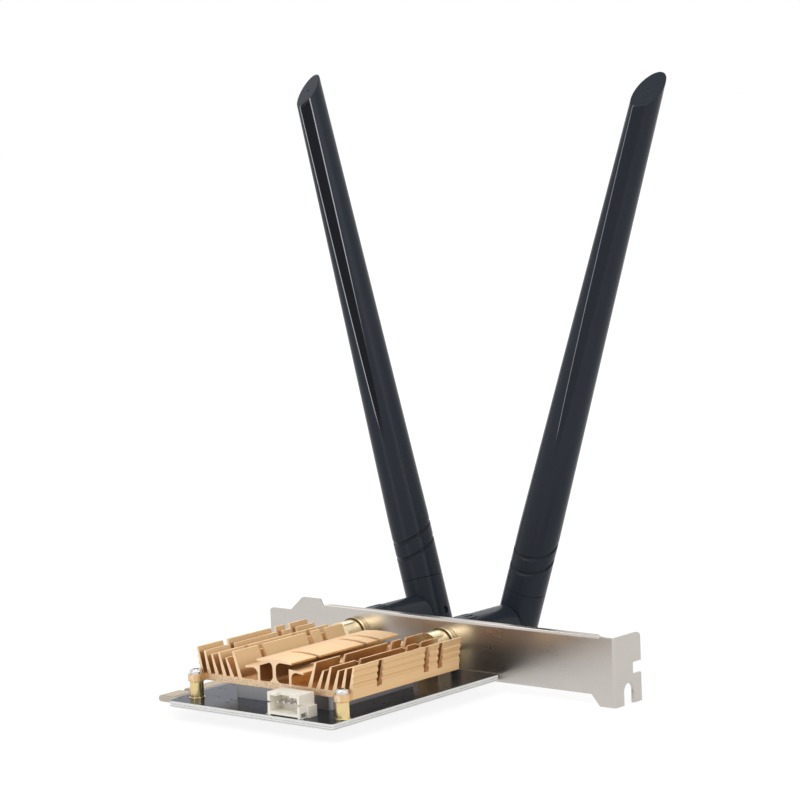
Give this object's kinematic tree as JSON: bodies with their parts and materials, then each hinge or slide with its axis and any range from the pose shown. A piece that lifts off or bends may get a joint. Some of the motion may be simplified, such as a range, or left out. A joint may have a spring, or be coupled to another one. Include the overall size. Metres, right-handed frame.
{
  "type": "pcie wifi card",
  "caption": "Wireless network card for an expansion slot: bracketed board with a finned gold heatsink, a side header and swivelling, tilting antennas.",
  "frame": {"origin": "middle of the edge connector's key notch, at the connector's end, halfway through the board's thickness", "axes": "+X from the edge connector to the bracket's screw tab, +Y to the bracket and antennas, +Z away from the board's component side"},
  "size_m": [0.1294, 0.1081, 0.167],
  "materials": {
    "board": "glossy black solder mask on glass epoxy",
    "gold_plate": "bright gold plating",
    "bracket_steel": "satin nickel plated sheet",
    "gold_anodised": "pale gold anodised, sawn ends",
    "brass": "turned brass",
    "bright_nickel": "bright nickel plated",
    "shield_steel": "dull tin plated",
    "thermal_pad": "matt grey silicone",
    "chip_black": "matt moulding compound",
    "ivory_nylon": "ivory moulded nylon",
    "white_insulator": "white fluoropolymer",
    "antenna_black": "satin blue-black moulding"
  },
  "bodies": {
    "card": {"board": "board", "edge_contacts": "gold_plate", "bracket": "bracket_steel", "heatsink": "gold_anodised", "standoff_front_left": "brass", "standoff_front_right": "brass", "standoff_rear": "brass", "heatsink_screws": "bright_nickel", "shield_can": "shield_steel", "thermal_pad": "thermal_pad", "chip_pad": "thermal_pad", "radio_chip": "chip_black", "left_amplifier": "chip_black", "right_amplifier": "chip_black", "crystal": "shield_steel", "header_housing": "ivory_nylon", "header_pins": "bright_nickel", "header_tabs": "bright_nickel", "left_jack_body": "gold_plate", "left_jack_insulator": "white_insulator", "left_jack_contact": "gold_plate", "left_lock_washer": "gold_plate", "left_jack_nut": "gold_plate", "left_coupling_nut": "gold_plate", "left_collar": "antenna_black", "left_plug_stem": "brass", "left_plug_insulator": "white_insulator", "left_plug_contact": "gold_plate", "right_jack_body": "gold_plate", "right_jack_insulator": "white_insulator", "right_jack_contact": "gold_plate", "right_lock_washer": "gold_plate", "right_jack_nut": "gold_plate", "right_coupling_nut": "gold_plate", "right_collar": "antenna_black", "right_plug_stem": "brass", "right_plug_insulator": "white_insulator", "right_plug_contact": "gold_plate"},
    "left_knuckle_body": {"left_knuckle": "antenna_black", "left_hinge_pin": "bright_nickel"},
    "left_mast_body": {"left_mast_socket": "antenna_black", "left_mast_shell": "antenna_black", "left_radiator": "brass"},
    "right_knuckle_body": {"right_knuckle": "antenna_black", "right_hinge_pin": "bright_nickel"},
    "right_mast_body": {"right_mast_socket": "antenna_black", "right_mast_shell": "antenna_black", "right_radiator": "brass"}
  },
  "joints": [
    {"name": "left_swivel", "type": "hinge", "parent": "card", "child": "left_knuckle_body", "pos_m": [0.0135, 0.09011, 0.0075], "axis": [0, 1, 0], "range_deg": [-166, 17]},
    {"name": "left_tilt", "type": "hinge", "parent": "left_knuckle_body", "child": "left_mast_body", "pos_m": [0.0135, 0.09011, 0.0075], "axis": [-0.969, 0, -0.247], "range_deg": [0, 90]},
    {"name": "right_swivel", "type": "hinge", "parent": "card", "child": "right_knuckle_body", "pos_m": [0.0448, 0.09011, 0.0075], "axis": [0, 1, 0], "range_deg": [-21, 160]},
    {"name": "right_tilt", "type": "hinge", "parent": "right_knuckle_body", "child": "right_mast_body", "pos_m": [0.0448, 0.09011, 0.0075], "axis": [-0.9478, 0, 0.319], "range_deg": [0, 90]}
  ]
}
